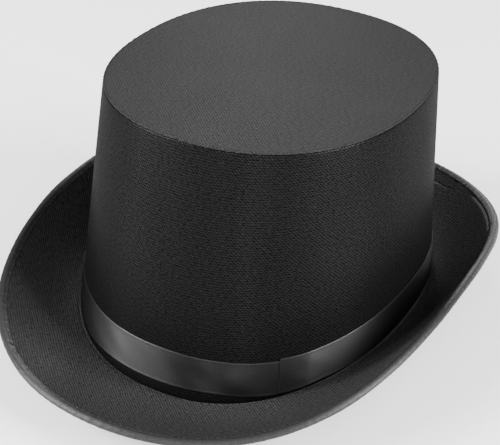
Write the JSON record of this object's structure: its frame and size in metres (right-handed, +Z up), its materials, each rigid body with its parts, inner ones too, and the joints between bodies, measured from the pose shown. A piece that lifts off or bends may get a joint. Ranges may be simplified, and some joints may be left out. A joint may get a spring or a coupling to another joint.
{
  "type": "top hat",
  "caption": "Plain black satin top hat: tapered oval crown with a flat tip, ribbon hatband, brim curled up at the sides with a bound edge, lined inside and open below for a head.",
  "frame": {"origin": "middle of the hat's footprint, on the surface that the foot of its brim stands on", "axes": "+Z up through the flat tip, -Y towards the front of the hat, +X towards the wearer's left"},
  "size_m": [0.218, 0.305, 0.1252],
  "materials": {
    "satin": "black satin, fine twill face, soft sheen",
    "ribbon": "black satin ribbon, glossier than the covers, with woven edges",
    "binding": "black satin bias tape, rolled and stitched",
    "board": "stiff black millinery board, matte",
    "wire": "plain drawn wire",
    "tape": "plain woven cotton tape",
    "lining": "thin black lining cloth, low sheen",
    "sweatband": "black imitation leather, fine grain",
    "bow_ribbon": "narrow black ribbon"
  },
  "bodies": {
    "root": {"tip_cover": "satin", "tip_board": "board", "crown_cover": "satin", "crown_board": "board", "hatband": "ribbon", "brim_top_cover": "satin", "brim_board": "board", "brim_under_cover": "satin", "brim_binding": "binding", "brim_edge_wire": "wire", "headline_tape": "tape", "lining_side": "lining", "lining_tip": "lining", "sweatband": "sweatband", "sweatband_bow": "bow_ribbon"}
  },
  "joints": []
}
